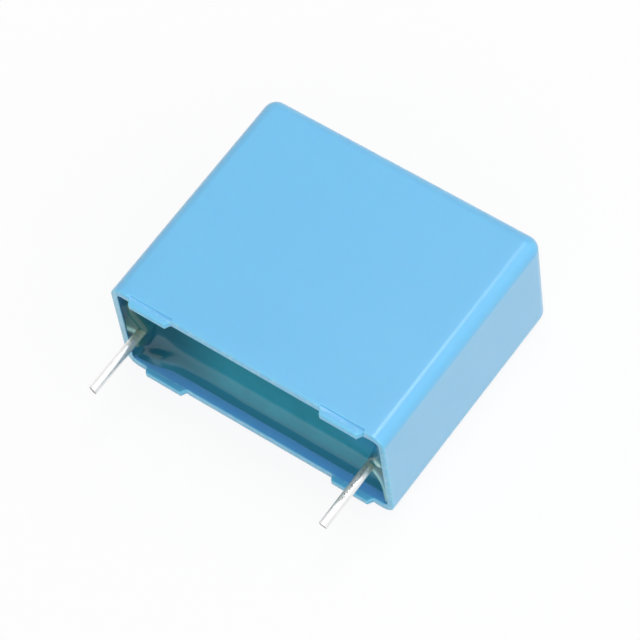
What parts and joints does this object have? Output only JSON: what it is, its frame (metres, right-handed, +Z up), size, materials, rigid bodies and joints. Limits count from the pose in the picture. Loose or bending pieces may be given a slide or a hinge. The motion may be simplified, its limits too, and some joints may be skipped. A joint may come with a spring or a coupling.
{
  "type": "box film capacitor",
  "caption": "Radial box film capacitor: a resin-filled moulded plastic case round a flattened film winding, with straight tinned wire leads and standoff feet for a circuit board.",
  "frame": {"origin": "centre of the overall box, on the surface that the case lies on", "axes": "+X along the lead row, from the left lead to the right one; +Y from the open lead end towards the closed end; +Z up, through the case's thickness. The part lies on a broad side, as it comes to rest, and the leads point along -Y"},
  "size_m": [0.0264, 0.0282, 0.0114],
  "materials": {
    "case_plastic": "moulded sky-blue thermoplastic, semi-gloss",
    "potting_resin": "cast epoxy, greenish and glossy, slightly translucent",
    "winding_film": "metallised plastic film, wound and pressed flat",
    "sprayed_metal": "flame-sprayed zinc, grainy and dull",
    "tinned_wire": "bright tin on copper wire"
  },
  "bodies": {
    "root": {"case": "case_plastic", "potting_resin": "potting_resin", "film_winding": "winding_film", "end_spray_left": "sprayed_metal", "end_spray_right": "sprayed_metal", "lead_left": "tinned_wire", "lead_right": "tinned_wire"}
  },
  "joints": []
}
